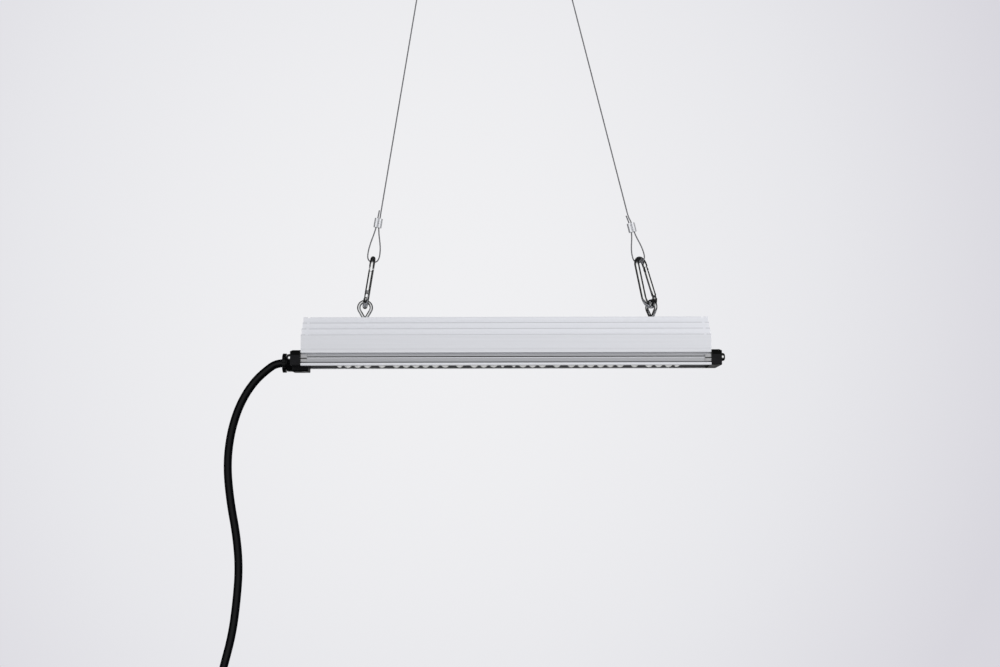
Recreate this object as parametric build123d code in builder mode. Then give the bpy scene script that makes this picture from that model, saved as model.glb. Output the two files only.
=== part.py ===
"""Hanging LED grow light bar on two wire ropes.

Row frame, millimetres: the origin lies on the ceiling, midway between the two
screw hooks. +X runs along the bar to the right, +Y away from the viewer, +Z up.
The bar has a frame of its own: x from the middle of the extrusion, y from its
centre plane, z up from the plane of its bottom lips.
"""

from build123d import *
import os
from math import asin, ceil, cos, pi, radians, sin, sqrt, tan

os.makedirs("parts", exist_ok=True)

# Where the bar hangs
bar_drop = 608.0  # ceiling to the bottom lips
bar_shift = 17.4  # the bar's middle lies this far right of the hooks' middle
hook_spacing = 177.7
hook_seat_drop = 34.0  # ceiling to the middle of the hook's wire where the rope sits
left_eye_x = -185.7  # eyebolts, from the bar's middle
right_eye_x = 192.1
eye_wire_height = 80.2  # middle of the snap hook's wire inside the eye, over the lips

# Heat sink extrusion
sink_length = 531.8
sink_width = 65.0
plate_bottom = 8.5
plate_top = 17.2
fin_thickness = 1.6
fin_spacing = 8.7
inner_fin_offset = 6.5
fin_tips = [65.3, 57.3, 48.7, 40.2]  # from the middle outwards, over the lips
fin_root_radius = 0.9
leg_thickness = 7.0
slot_lip_bottom = 23.0
slot_lip_top = 25.5
slot_mouth = 7.4
port_offset = 22.0  # screw ports for the end caps
port_height = 10.6
port_radius = 4.2
tip_notch_width = 3.5
tip_notch_depth = 1.0
tip_notch_inset = 7.5

# Side grooves: height band and depth of each step, from the bottom up
groove_steps = [
    (3.1, 4.7, 4.5),
    (4.7, 10.5, 2.0),
    (10.5, 11.6, 4.5),
    (11.6, 14.4, 2.6),
    (14.4, 16.4, 4.5),
]
clip_length = 8.0
clip_taper = 2.4
clip_depth = 0.9  # its face, below the side of the extrusion
clip_slit_bottom = 8.8
clip_slit_top = 9.6
clip_slit_depth = 3.2
clip_gap = 0.15

# End caps
gasket_thickness = 1.0
cap_thickness = 12.7
cap_height = 20.0
cap_corner = 1.2
cap_bevel_length = 3.4
cap_bevel_height = 1.5
cap_screw_radius = 2.4
cap_screw_gap = 0.35
cap_screw_depth = 22.0  # length inside the extrusion
cap_head_radius = 5.25
cap_head_height = 5.2

# Cable housing on the left cap
housing_half_width = 13.0
housing_drop = 6.4  # below the lips
housing_length = 21.0
housing_wall = 2.5
housing_end_wall = 6.5
lid_thickness = 2.0
lid_screw_radius = 1.4
lid_screw_length = 8.0
lid_screw_inset = (4.6, 3.4)  # from the housing's inner end and from its sides
lid_post_radius = 2.9
lid_head_radius = 2.4
lid_head_depth = 1.1  # sunk in the lid
lead_window_width = 14.0
lead_window_height = 5.0

# Cable gland
gland_height = 5.6
gland_hex_flats = 22.0
gland_hex_length = 6.3
gland_washer_thickness = 0.8
gland_stem_radius = 8.0
gland_neck_radius = 9.0
gland_nut_radius = 12.6
gland_nut_length = 4.5
gland_nut_gap = 1.7
gland_nut_wall = 1.4
gland_flute_radius = 0.9
gland_flutes = 12
seal_radius = 7.5
seal_length = 6.8

# LED modules
left_bare = 41.9  # bare recess between the extrusion's end and the lens
right_bare = 35.7
module_gap = 5.6  # between the two lenses
module_width = 35.0
board_width = 30.0
board_thickness = 1.6
board_tail = 14.0  # bare board past the lens at the bar's ends
lens_base = 2.2
dome_radius = 5.6
chip_size = 3.5
chip_height = 1.2
chip_pocket_radius = 3.0
chip_pocket_depth = 1.7
rim_length = 9.2
rim_width = 24.0
rim_drop = 4.2
rim_slope = 3.2
lens_screw_row = 13.0
lens_screw_radius = 1.4
lens_screw_length = 6.0
lens_head_radius = 2.6
lens_head_height = 1.5
regulator_size = (8.0, 6.0, 2.0)
terminal_size = (9.0, 17.0, 6.0)
terminal_mouth = 4.0  # height of the holes that the leads enter
link_width = 3.0
link_thickness = 0.5
link_offset = 8.0
link_gap = 0.1

# Leads inside
lead_radius = 1.1
lead_spacing = 5.2
sheath_inset = 0.1  # the cord's sheath ends this far inside the gland's stem

# Ropes, ferrules and hooks
rope_radius = 0.9
ferrule_length = 12.2
ferrule_half_pitch = 2.3
ferrule_lobe_radius = 3.0
ferrule_bore_gap = 0.05
strand_offset = 1.5  # of each bore from the ferrule's middle
left_ferrule_height = 106.6  # lower ferrule's bottom, up the rope from the eye's wire
right_ferrule_height = 101.4
left_ferrule_shift = -1.3  # of the lower ferrule's middle from the rope's line
right_ferrule_shift = 0.8
loop_half_width = 7.5
loop_belly = 0.38  # height of its widest place, as a share of the loop's
belly_radius = 20.0
stub_length = 11.1
stub_gap = 0.6  # between the rope and the tip of the lower stub
top_stub_length = 5.0
top_mouth_drop = 59.7  # upper ferrule's mouth, down the rope from the hook's seat
rope_split_gap = 0.3
seat_gap = 0.5
hook_wire_radius = 2.5
hook_bend_radius = 10.0
hook_end_angle = 160.0
hook_flange_radius = 8.0
hook_flange_thickness = 2.5
stud_radius = 3.0
stud_length = 30.0

# Snap hooks
wire_radius = 3.5
snap_length = 64.3  # between the middles of the wire at both ends
snap_bottom_radius = 12.4
snap_top_radius = 8.9
gate_radius = 3.2
tongue_thickness = 2.4
gate_slot = 2.8
pivot_rise = 1.0  # pivot above the bottom bend
hinge_clearance = 4.8  # from the pivot down to the wire's end
gate_pin_radius = 1.25
gate_pin_gap = 0.05
nose_pin_radius = 1.5
nose_pin_rise = 34.8  # above the pivot
gate_slot_depth = 7.0
shoulder_gap = 0.8
spring_radius = 1.1
spring_length = 11.6
left_turn = -85.0  # turn of the snap hook's gate about the rope, from +X towards +Y
right_turn = 50.0

# Eyebolts
eye_radius = 8.2
eye_wire_radius = 2.3
eye_gap = 0.8
eye_stem = 16.4
left_eye_turn = 2.0  # of the eye's plane from +X towards +Y
right_eye_turn = -51.0
thread_radius = 3.0
slot_nut_length = 18.0
slot_nut_width = 10.8
slot_gap = 0.1
lock_nut_flats = 10.0
lock_nut_height = 5.0
washer_radius = 5.5
washer_thickness = 1.2

# Mains cord, its coil and its plug
cord_radius = 5.35
cord_gap = 0.6  # between neighbouring turns
coil_middle = (-307.0, 4.0, -472.5)  # in the bar's frame, first layer
coil_reach = [69.0, 63.35, 57.7, 52.05, 62.7, 68.35, 79.0]  # left, right, left and so on
climbing_turn = 2  # the half turn that changes layer
coil_tail = 2 * cord_radius
cord_route = [
    (-301.5, 0.0, gland_height),
    (-314.5, 0.4, -3.5),
    (-329.3, 1.2, -17.0),
    (-342.9, 2.2, -36.0),
    (-354.2, 3.9, -60.0),
    (-362.9, 6.8, -92.0),
    (-366.6, 10.4, -130.0),
    (-362.5, 14.8, -175.0),
    (-354.2, 18.6, -220.0),
    (-350.6, 21.0, -262.0),
    (-353.2, 20.9, -305.0),
    (-357.9, 18.0, -348.0),
    (-367.4, 11.5, -389.0),
    (-376.0, 4.0, -429.0),
]
tie_width = 8.0
tie_thickness = 1.2
tie_gap = 0.3
plug_relief_length = 30.0
plug_relief_radius = 7.0
plug_body_length = 34.0
plug_size = (25.0, 28.0)
plug_corner = 6.0
blade_size = (1.5, 6.4, 17.0)
blade_spacing = 12.7
earth_pin_radius = 2.4
earth_pin_length = 20.0
earth_pin_offset = 11.9

# Values worked out from the ones above
lip_z = -bar_drop
half_sink = sink_length / 2
sink_side = sink_width / 2
cap_face = half_sink + gasket_thickness + cap_thickness
sheath_end = -cap_face + housing_end_wall - sheath_inset
module_length = (sink_length - left_bare - right_bare - module_gap) / 2
module_pitch = module_length + module_gap
module_shift = (left_bare - right_bare) / 2  # the middle of the pair, from the bar's
dome_pitch = module_length / 17.5
dome_gap = module_length / 11.8
board_bottom = plate_bottom - board_thickness
lens_bottom = board_bottom - lens_base
ring_height = eye_wire_height + wire_radius + eye_gap - (eye_radius - eye_wire_radius)
left_seat = Vector(-hook_spacing / 2, 0, -hook_seat_drop)
right_seat = Vector(hook_spacing / 2, 0, -hook_seat_drop)
left_eye = Vector(bar_shift + left_eye_x, 0, lip_z + eye_wire_height)
right_eye = Vector(bar_shift + right_eye_x, 0, lip_z + eye_wire_height)


def save(name, part):
    """Label a finished piece and write it under its own name."""
    part.label = name
    export_step(part, f"parts/{name}.step")
    box = part.bounding_box()
    print(name, len(part.solids()), round(part.volume, 1), box.min, box.max)


def section(x):
    """Plane across the bar at x, with the profile's y and z as its axes."""
    return Plane(origin=(bar_shift + x, 0, lip_z), x_dir=(0, 1, 0), z_dir=(1, 0, 0))


def level(z):
    """Level plane at height z over the lips, with the bar's x and y as its axes."""
    return Plane(origin=(bar_shift, 0, lip_z + z), x_dir=(1, 0, 0), z_dir=(0, 0, 1))


def upright(y):
    """Plane along the bar at y, seen from the front, with x and z as its axes."""
    return Plane(origin=(bar_shift, y, lip_z), x_dir=(1, 0, 0), z_dir=(0, -1, 0))


def mirrored(part):
    """The same piece at the other end of the bar."""
    return part.mirror(Plane(origin=(bar_shift, 0, 0), z_dir=(1, 0, 0)))


def arc_radii(points):
    """A radius for each corner of a cord's route, as large as its two runs allow."""
    corners = [Vector(*p) for p in points]
    radii = []
    for before, corner, after in zip(corners, corners[1:], corners[2:]):
        turn = (corner - before).get_angle(after - corner)
        shorter = min((corner - before).length, (after - corner).length)
        radii.append(0.45 * shorter / tan(radians(turn / 2)))
    return radii


def tube_along(path, radius):
    """A round tube swept along a path, square to its start."""
    with BuildPart() as tube:
        with BuildSketch(Plane(origin=path @ 0, z_dir=path % 0)):
            Circle(radius)
        sweep(path=path)
    return tube.part


# Heat sink: plate, legs with grooved sides, finned top with a slot for the eyebolts
with BuildPart() as heat_sink:
    with BuildSketch(section(-half_sink)) as profile:
        with Locations((0, (plate_bottom + plate_top) / 2)):
            Rectangle(sink_width, plate_top - plate_bottom)
        for side in (-1, 1):
            with Locations((side * (sink_side - leg_thickness / 2), plate_top / 2)):
                Rectangle(leg_thickness, plate_top)
            with Locations((side * port_offset, port_height)):
                Circle(port_radius)
            for number, tip in enumerate(fin_tips):
                outermost = number == len(fin_tips) - 1
                centre = inner_fin_offset + number * fin_spacing
                if outermost:
                    centre = sink_side - fin_thickness / 2
                with Locations((side * centre, (plate_top + tip) / 2)):
                    Rectangle(fin_thickness, tip - plate_top)
            lip_inner = slot_mouth / 2
            lip_outer = inner_fin_offset
            lip_middle = (slot_lip_bottom + slot_lip_top) / 2
            with Locations((side * (lip_inner + lip_outer) / 2, lip_middle)):
                Rectangle(lip_outer - lip_inner, slot_lip_top - slot_lip_bottom)
        fin_roots = [
            v
            for v in profile.vertices()
            if abs(v.Z - lip_z - plate_top) < 0.01
            and inner_fin_offset < abs(v.Y) < sink_side - 0.1
        ]
        fillet(fin_roots, radius=fin_root_radius)
        for side in (-1, 1):
            with Locations((side * port_offset, port_height)):
                Circle(cap_screw_radius, mode=Mode.SUBTRACT)
            for bottom, top, depth in groove_steps:
                with Locations((side * (sink_side - depth / 2), (bottom + top) / 2)):
                    Rectangle(depth, top - bottom, mode=Mode.SUBTRACT)
    extrude(amount=sink_length)
    notch_x = half_sink - tip_notch_inset
    for number, tip in enumerate(fin_tips):
        centre = min(
            inner_fin_offset + number * fin_spacing, sink_side - fin_thickness / 2
        )
        with BuildSketch(level(tip)):
            with GridLocations(2 * notch_x, 2 * centre, 2, 2):
                Rectangle(tip_notch_width, fin_thickness + 0.4)
        extrude(amount=-tip_notch_depth, mode=Mode.SUBTRACT)
    # Holes for the screws of the lenses and of the earth lead
    screw_xs = [dome_gap * 0.5 + 2.5 * dome_pitch, dome_gap * 1.5 + 2.5 * dome_pitch]
    lens_screws_at = [
        (module_shift + middle * module_pitch / 2 + end * x, row * lens_screw_row)
        for middle in (-1, 1)
        for end in (-1, 1)
        for x in screw_xs
        for row in (-1, 1)
    ]
    with BuildSketch(level(plate_bottom)):
        with Locations(*lens_screws_at):
            Circle(lens_screw_radius)
    extrude(amount=lens_screw_length - board_thickness - lens_base + 1.0, mode=Mode.SUBTRACT)
save("heat_sink", heat_sink.part)

# Clips in the ends of the side grooves, with a slit and a tapered inner end
with BuildPart() as clip:
    clip_bottom = groove_steps[0][1] + clip_gap
    clip_top = groove_steps[3][1] - clip_gap
    outer = sink_side - clip_depth
    inner = sink_side - groove_steps[1][2] + clip_gap
    deep = sink_side - groove_steps[3][2] + clip_gap
    with BuildSketch(section(-half_sink)):
        with BuildLine():
            Polyline(
                (-outer, clip_bottom),
                (-outer, clip_top),
                (-deep, clip_top),
                (-deep, groove_steps[3][0] - clip_gap),
                (-outer + clip_slit_depth, groove_steps[3][0] - clip_gap),
                (-outer + clip_slit_depth, groove_steps[2][0] + clip_gap),
                (-inner, groove_steps[2][0] + clip_gap),
                (-inner, clip_bottom),
                close=True,
            )
        make_face()
    extrude(amount=clip_length)
    with BuildSketch(section(-half_sink)):
        with Locations((-outer, (clip_slit_bottom + clip_slit_top) / 2)):
            Rectangle(0.7, clip_slit_top - clip_slit_bottom)
    extrude(amount=clip_length, mode=Mode.SUBTRACT)
    with BuildSketch(level(clip_bottom)):
        with BuildLine():
            Polyline(
                (-half_sink + clip_length, -outer),
                (-half_sink + clip_length - clip_taper, -outer),
                (-half_sink + clip_length, -outer + 0.4),
                close=True,
            )
        make_face()
    extrude(amount=clip_top - clip_bottom, mode=Mode.SUBTRACT)
far_clip = clip.part.mirror(Plane.XZ)
clips = [clip.part, far_clip, mirrored(clip.part), mirrored(far_clip)]
save("groove_clips", Compound(children=clips))

# End gaskets, one shape at both ends
cap_screw_spots = [(-port_offset, port_height), (port_offset, port_height)]
with BuildPart() as gasket:
    with BuildSketch(section(-half_sink)):
        with Locations((0, cap_height / 2)):
            RectangleRounded(sink_width, cap_height, cap_corner)
        with Locations((0, (plate_bottom - housing_wall) / 2)):
            Rectangle(
                2 * housing_half_width + 0.6, plate_bottom + housing_wall, mode=Mode.SUBTRACT
            )
        with Locations(*cap_screw_spots):
            Circle(cap_screw_radius + cap_screw_gap, mode=Mode.SUBTRACT)
    extrude(amount=-gasket_thickness)
save("end_gaskets", Compound(children=[gasket.part, mirrored(gasket.part)]))


def cap_block():
    """The block of the left end cap, with its bevelled top and screw holes."""
    with BuildPart() as block:
        with BuildSketch(section(-half_sink - gasket_thickness)):
            with Locations((0, cap_height / 2)):
                RectangleRounded(sink_width, cap_height, cap_corner)
        extrude(amount=-cap_thickness)
        with BuildSketch(upright(sink_side)):
            with BuildLine():
                Polyline(
                    (-cap_face, cap_height - cap_bevel_height),
                    (-cap_face, cap_height + 1.0),
                    (-cap_face + cap_bevel_length, cap_height + 1.0),
                    (-cap_face + cap_bevel_length, cap_height),
                    close=True,
                )
            make_face()
        extrude(amount=sink_width, mode=Mode.SUBTRACT)
        with BuildSketch(section(-half_sink - gasket_thickness)):
            with Locations(*cap_screw_spots):
                Circle(cap_screw_radius + cap_screw_gap)
        extrude(amount=-cap_thickness, mode=Mode.SUBTRACT)
    return block.part


# Right end cap
save("right_end_cap", mirrored(cap_block()))

# Left end cap, moulded with the cable housing, whose bottom is open for the lid
housing_inner_end = -cap_face + housing_length
lid_screw_x = housing_inner_end - lid_screw_inset[0]
lid_screw_y = housing_half_width - lid_screw_inset[1]
with BuildPart() as left_end_cap:
    add(cap_block())
    with BuildSketch(section(-cap_face)):
        with Locations((0, (plate_bottom - housing_drop) / 2)):
            Rectangle(2 * housing_half_width, plate_bottom + housing_drop)
    extrude(amount=housing_length)
    lower_edges = (
        left_end_cap.edges()
        .filter_by(Axis.X)
        .filter_by_position(Axis.Z, lip_z - housing_drop - 0.5, lip_z - housing_drop + 0.5)
    )
    fillet(lower_edges, radius=1.0)
    cavity_start = -cap_face + housing_end_wall
    cavity_length = housing_length - housing_end_wall - housing_wall
    with BuildSketch(level(-housing_drop)):
        with Locations((cavity_start + cavity_length / 2, 0)):
            Rectangle(cavity_length, 2 * (housing_half_width - housing_wall))
    extrude(amount=housing_drop + plate_bottom - housing_wall / 2, mode=Mode.SUBTRACT)
    with BuildSketch(level(-housing_drop)):
        with Locations((housing_inner_end - housing_length / 2, 0)):
            Rectangle(housing_length, 2 * housing_half_width)
    extrude(amount=lid_thickness, mode=Mode.SUBTRACT)
    # Corner posts that take the lid's screws
    with BuildSketch(level(-housing_drop + lid_thickness)):
        with Locations((lid_screw_x, -lid_screw_y), (lid_screw_x, lid_screw_y)):
            Circle(lid_post_radius)
    extrude(amount=lid_screw_length + 1.0)
    with BuildSketch(level(-housing_drop + lid_thickness)):
        with Locations((lid_screw_x, -lid_screw_y), (lid_screw_x, lid_screw_y)):
            Circle(lid_screw_radius)
    extrude(amount=lid_screw_length, mode=Mode.SUBTRACT)
    with BuildSketch(section(-cap_face)):
        with Locations((0, gland_height)):
            Circle(gland_stem_radius)
    extrude(amount=housing_end_wall, mode=Mode.SUBTRACT)
    with BuildSketch(section(housing_inner_end)):
        with Locations((0, terminal_mouth)):
            Rectangle(lead_window_width, lead_window_height)
    extrude(amount=-housing_wall, mode=Mode.SUBTRACT)
save("left_end_cap", left_end_cap.part)

# Lid under the cable housing, and its two screws
with BuildPart() as cable_lid:
    with BuildSketch(level(-housing_drop)):
        with Locations((housing_inner_end - housing_length / 2, 0)):
            Rectangle(housing_length, 2 * housing_half_width)
    extrude(amount=lid_thickness)
    bottom_face = cable_lid.faces().sort_by(Axis.Z)[0]
    chamfer(bottom_face.edges(), 0.6)
    with BuildSketch(level(-housing_drop)):
        with Locations((lid_screw_x, -lid_screw_y), (lid_screw_x, lid_screw_y)):
            Circle(lid_screw_radius)
    extrude(amount=lid_thickness, mode=Mode.SUBTRACT)
    with BuildSketch(level(-housing_drop)):
        with Locations((lid_screw_x, -lid_screw_y), (lid_screw_x, lid_screw_y)):
            Circle(lid_head_radius)
    extrude(amount=lid_head_depth, mode=Mode.SUBTRACT)
save("cable_lid", cable_lid.part)

with BuildPart() as lid_screws:
    with BuildSketch(level(-housing_drop)):
        with Locations((lid_screw_x, -lid_screw_y), (lid_screw_x, lid_screw_y)):
            Circle(lid_screw_radius)
    extrude(amount=lid_screw_length)
    with BuildSketch(level(-housing_drop)):
        with Locations((lid_screw_x, -lid_screw_y), (lid_screw_x, lid_screw_y)):
            Circle(lid_head_radius)
    extrude(amount=lid_head_depth)
save("lid_screws", lid_screws.part)

# End cap screws: pan heads that stand proud of the caps
cap_screws = []
for spot in cap_screw_spots:
    with BuildPart() as cap_screw:
        with BuildSketch(section(-cap_face)):
            with Locations(spot):
                Circle(cap_head_radius)
        extrude(amount=-cap_head_height)
        crown = cap_screw.faces().sort_by(Axis.X)[0]
        fillet(crown.edges(), radius=cap_head_height * 0.55)
        with BuildSketch(section(-cap_face)):
            with Locations(spot):
                Circle(cap_screw_radius)
        extrude(amount=gasket_thickness + cap_thickness + cap_screw_depth)
        with BuildSketch(section(-cap_face - cap_head_height)):
            with Locations(spot):
                RegularPolygon(2.0, 6)
        extrude(amount=2.2, mode=Mode.SUBTRACT)
    cap_screws += [cap_screw.part, mirrored(cap_screw.part)]
save("end_cap_screws", Compound(children=cap_screws))

# Cable gland: washer, hexagon body, seal and domed nut
gland_face = -cap_face


def gland_plane(out):
    """Plane across the gland's axis, this far out from the left cap's face."""
    place = section(gland_face - out)
    return place.shift_origin(place.from_local_coords((0, gland_height, 0)))


hex_outer = gland_washer_thickness + gland_hex_length
nut_inner = hex_outer + gland_nut_gap
nut_outer = nut_inner + gland_nut_length
neck_outer = nut_outer - gland_nut_wall
with BuildPart() as gland_washer:
    with BuildSketch(gland_plane(0)):
        Circle(gland_stem_radius + 2.6)
        Circle(gland_stem_radius, mode=Mode.SUBTRACT)
    extrude(amount=-gland_washer_thickness)
save("gland_washer", gland_washer.part)

with BuildPart() as gland_body:
    with BuildSketch(gland_plane(gland_washer_thickness)):
        RegularPolygon(gland_hex_flats / 2, 6, major_radius=False)
    extrude(amount=-gland_hex_length)
    with BuildSketch(gland_plane(hex_outer)):
        Circle(gland_neck_radius)
    extrude(amount=-(neck_outer - hex_outer))
    with BuildSketch(gland_plane(gland_washer_thickness)):
        Circle(gland_stem_radius)
    extrude(amount=gland_washer_thickness + housing_end_wall)
    with BuildSketch(gland_plane(neck_outer)):
        Circle(cord_radius + 0.3)
    extrude(amount=neck_outer + housing_end_wall, mode=Mode.SUBTRACT)
    with BuildSketch(gland_plane(neck_outer)):
        Circle(seal_radius)
    extrude(amount=seal_length, mode=Mode.SUBTRACT)
save("gland_body", gland_body.part)

with BuildPart() as gland_seal:
    with BuildSketch(gland_plane(neck_outer)):
        Circle(seal_radius)
        Circle(cord_radius, mode=Mode.SUBTRACT)
    extrude(amount=seal_length)
save("gland_seal", gland_seal.part)

with BuildPart() as gland_nut:
    with BuildSketch(gland_plane(nut_inner)):
        Circle(gland_nut_radius)
        with PolarLocations(gland_nut_radius + 0.2, gland_flutes):
            Circle(gland_flute_radius, mode=Mode.SUBTRACT)
    extrude(amount=-gland_nut_length)
    with BuildSketch(gland_plane(nut_inner)):
        Circle(gland_neck_radius)
    extrude(amount=-(neck_outer - nut_inner), mode=Mode.SUBTRACT)
    with BuildSketch(gland_plane(nut_outer)):
        Circle(cord_radius + 0.9)
    extrude(amount=gland_nut_wall, mode=Mode.SUBTRACT)
save("gland_nut", gland_nut.part)

# LED modules: board, seal frame, clear lens with its domes, chips and screws
dome_xs = [dome_pitch * (i - 2.5) for i in range(6)]
single = 2.5 * dome_pitch + dome_gap
triple = [single + dome_gap + i * dome_pitch for i in range(3)]
dome_xs += [end * x for end in (-1, 1) for x in [single, *triple]]
chip_spots = []
link_reach = module_gap / 2 + 2.5  # to the boards' inner ends
for name, side in (("left", -1), ("right", 1)):
    middle = module_shift + side * module_pitch / 2
    spots = [(middle + x, 0) for x in dome_xs]
    chip_spots += spots
    screw_spots = [s for s in lens_screws_at if abs(s[0] - middle) < module_length / 2]

    with BuildPart() as board:
        with BuildSketch(level(board_bottom)):
            with Locations((middle + side * board_tail / 2, 0)):
                Rectangle(module_length - 5.0 + board_tail, board_width)
            with Locations(*screw_spots):
                Circle(lens_screw_radius, mode=Mode.SUBTRACT)
        extrude(amount=board_thickness)
    save(f"{name}_led_board", board.part)

    with BuildPart() as seal:
        with BuildSketch(level(board_bottom)):
            with Locations((middle, 0)):
                Rectangle(module_length - 1.0, module_width - 1.0)
            with Locations((middle + side * board_tail / 2, 0)):
                Rectangle(
                    module_length - 5.0 + board_tail, board_width, mode=Mode.SUBTRACT
                )
        extrude(amount=board_thickness)
        with BuildSketch(level(plate_bottom)):
            with Locations((module_shift, -link_offset), (module_shift, link_offset)):
                Rectangle(2 * link_reach, link_width + 2 * link_gap)
        extrude(amount=-link_thickness - link_gap, mode=Mode.SUBTRACT)
    save(f"{name}_lens_seal", seal.part)

    with BuildPart() as lens:
        with BuildSketch(level(lens_bottom)):
            with Locations((middle, 0)):
                RectangleRounded(module_length, module_width, 2.0)
        extrude(amount=lens_base)
        with BuildSketch(upright(rim_width / 2)):
            for end in (-1, 1):
                edge = middle + end * module_length / 2
                with BuildLine():
                    Polyline(
                        (edge, lens_bottom),
                        (edge - end * rim_slope, lens_bottom - rim_drop),
                        (edge - end * (rim_length - rim_slope), lens_bottom - rim_drop),
                        (edge - end * rim_length, lens_bottom),
                        close=True,
                    )
                make_face()
        extrude(amount=rim_width)
        with Locations(*[level(lens_bottom).from_local_coords((*s, 0)) for s in spots]):
            Sphere(dome_radius)
        with BuildSketch(level(board_bottom)):
            with Locations((middle, 0)):
                Rectangle(module_length, module_width)
        extrude(amount=dome_radius, mode=Mode.SUBTRACT)
        with BuildSketch(level(board_bottom)):
            with Locations(*spots):
                Circle(chip_pocket_radius)
        extrude(amount=-chip_pocket_depth, mode=Mode.SUBTRACT)
        with BuildSketch(level(lens_bottom)):
            with Locations(*screw_spots):
                Circle(lens_screw_radius)
        extrude(amount=lens_base, mode=Mode.SUBTRACT)
    save(f"{name}_lens", lens.part)

with BuildPart() as led_chips:
    with BuildSketch(level(board_bottom)):
        with Locations(*chip_spots):
            Rectangle(chip_size, chip_size)
    extrude(amount=-chip_height)
save("led_chips", led_chips.part)

with BuildPart() as lens_screws:
    with BuildSketch(level(lens_bottom)):
        with Locations(*lens_screws_at):
            Circle(lens_head_radius)
    extrude(amount=-lens_head_height)
    with BuildSketch(level(lens_bottom)):
        with Locations(*lens_screws_at):
            Circle(lens_screw_radius)
    extrude(amount=lens_screw_length)
save("lens_screws", lens_screws.part)

# Current regulators on the boards' tails, and the terminal block for the leads
tail_middle = module_pitch / 2 + module_length / 2 + board_tail / 2 - 1.0
with BuildPart() as regulators:
    with BuildSketch(level(board_bottom)):
        with Locations(
            (module_shift + tail_middle, -6.5),
            (module_shift + tail_middle, 6.5),
        ):
            Rectangle(regulator_size[0], regulator_size[1])
    extrude(amount=-regulator_size[2])
save("current_regulators", regulators.part)

terminal_x = module_shift - tail_middle
with BuildPart() as terminal_block:
    with BuildSketch(level(board_bottom)):
        with Locations((terminal_x, 0)):
            Rectangle(terminal_size[0], terminal_size[1])
    extrude(amount=-terminal_size[2])
    mouth_plane = section(terminal_x - terminal_size[0] / 2)
    with BuildSketch(mouth_plane):
        with Locations(*[(i * lead_spacing, terminal_mouth) for i in (-1, 0, 1)]):
            Circle(lead_radius)
    extrude(amount=terminal_size[0] * 0.6, mode=Mode.SUBTRACT)
save("terminal_block", terminal_block.part)

# Three leads from the cord's sheath to the terminal block
lead_end = terminal_x - terminal_size[0] / 2 + terminal_size[0] * 0.6
for name, place in (("line", -1), ("earth", 0), ("neutral", 1)):
    start_y = place * lead_spacing / 2
    end_y = place * lead_spacing
    corners = [
        (sheath_end, start_y, gland_height),
        (sheath_end + 3, start_y, gland_height),
        (sheath_end + 10, end_y, terminal_mouth),
        (lead_end, end_y, terminal_mouth),
    ]
    with BuildLine() as lead_path:
        FilletPolyline(*[(x + bar_shift, y, z + lip_z) for x, y, z in corners], radius=4.0)
    lead = tube_along(lead_path.wire(), lead_radius)
    save(f"{name}_lead", lead)

# Flat links along the plate, from one board's end to the other's
with BuildPart() as board_links:
    with BuildSketch(level(plate_bottom)):
        with Locations((module_shift, -link_offset), (module_shift, link_offset)):
            Rectangle(2 * link_reach, link_width)
    extrude(amount=-link_thickness)
save("board_links", board_links.part)


# Hangers, each in a frame that runs up its rope from the wire inside the eye
def up_rope(eye, seat):
    """Unit vector up the rope and the rope's length between eye and hook seat."""
    line = seat - eye
    return line.normalized(), line.length


def loop_plane(eye, up):
    """Plane of the lower loop: x to the right across the rope, y up the rope."""
    across = Vector(up.Z, 0, -up.X)
    return Plane(origin=eye, x_dir=across, z_dir=(0, -1, 0))


def crosswise_plane(eye, up):
    """Plane of the upper loop: x away from the viewer, y up the rope."""
    depth = Vector(0, 1, 0)
    return Plane(origin=eye, x_dir=depth, z_dir=depth.cross(up))


def snap_plane(eye, up, turn):
    """Plane of the snap hook: x towards its gate, y up the rope."""
    across = Vector(up.Z, 0, -up.X)
    gate = across * cos(radians(turn)) + Vector(0, 1, 0) * sin(radians(turn))
    return Plane(origin=eye, x_dir=gate, z_dir=gate.cross(up))


def ferrule(plane, mouth, shift=0.0):
    """A two-lobed ferrule that starts at mouth and runs up the rope."""
    place = Plane(
        origin=plane.from_local_coords((shift, mouth, 0)),
        x_dir=plane.x_dir,
        z_dir=plane.y_dir,
    )
    with BuildPart() as sleeve:
        with BuildSketch(place):
            with Locations((-ferrule_half_pitch, 0), (ferrule_half_pitch, 0)):
                Circle(ferrule_lobe_radius)
            with Locations((-strand_offset, 0), (strand_offset, 0)):
                Circle(rope_radius + ferrule_bore_gap, mode=Mode.SUBTRACT)
        extrude(amount=ferrule_length)
    return sleeve.part


def lower_rope(plane, mouth, top, shift):
    """The rope from its top end down through the ferrule, round the loop and back."""
    crown = snap_length - wire_radius - rope_radius - seat_gap / 4
    belly = crown + loop_belly * (mouth - crown)
    main = shift + strand_offset
    stub = shift - strand_offset
    stub_tip = min(main, 0) - 2 * rope_radius - stub_gap
    bend = 0.95 * (loop_half_width - 0.2)
    corners = [
        (0, top, -strand_offset),
        (0, top - 2.0, -strand_offset),
        (0, top - 11.0, 0),
        (0, mouth + ferrule_length + 9.0, 0),
        (main, mouth + ferrule_length, 0),
        (main, mouth - 2.0, 0),
        (loop_half_width + 0.8, belly, 0),
        (loop_half_width - 0.2, crown, 0),
        (-loop_half_width + 0.2, crown, 0),
        (-loop_half_width - 0.8, belly, 0),
        (stub, mouth - 2.0, 0),
        (stub, mouth + ferrule_length, 0),
        (stub_tip, mouth + ferrule_length + stub_length, 0),
    ]
    with BuildLine() as path:
        FilletPolyline(
            *[plane.from_local_coords(c) for c in corners],
            radius=[9, 12, 12, 9, 10, belly_radius, bend, bend, belly_radius, 10, 9],
        )
    print("rope length", round(path.wire().length, 1))
    return tube_along(path.wire(), rope_radius)


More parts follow.
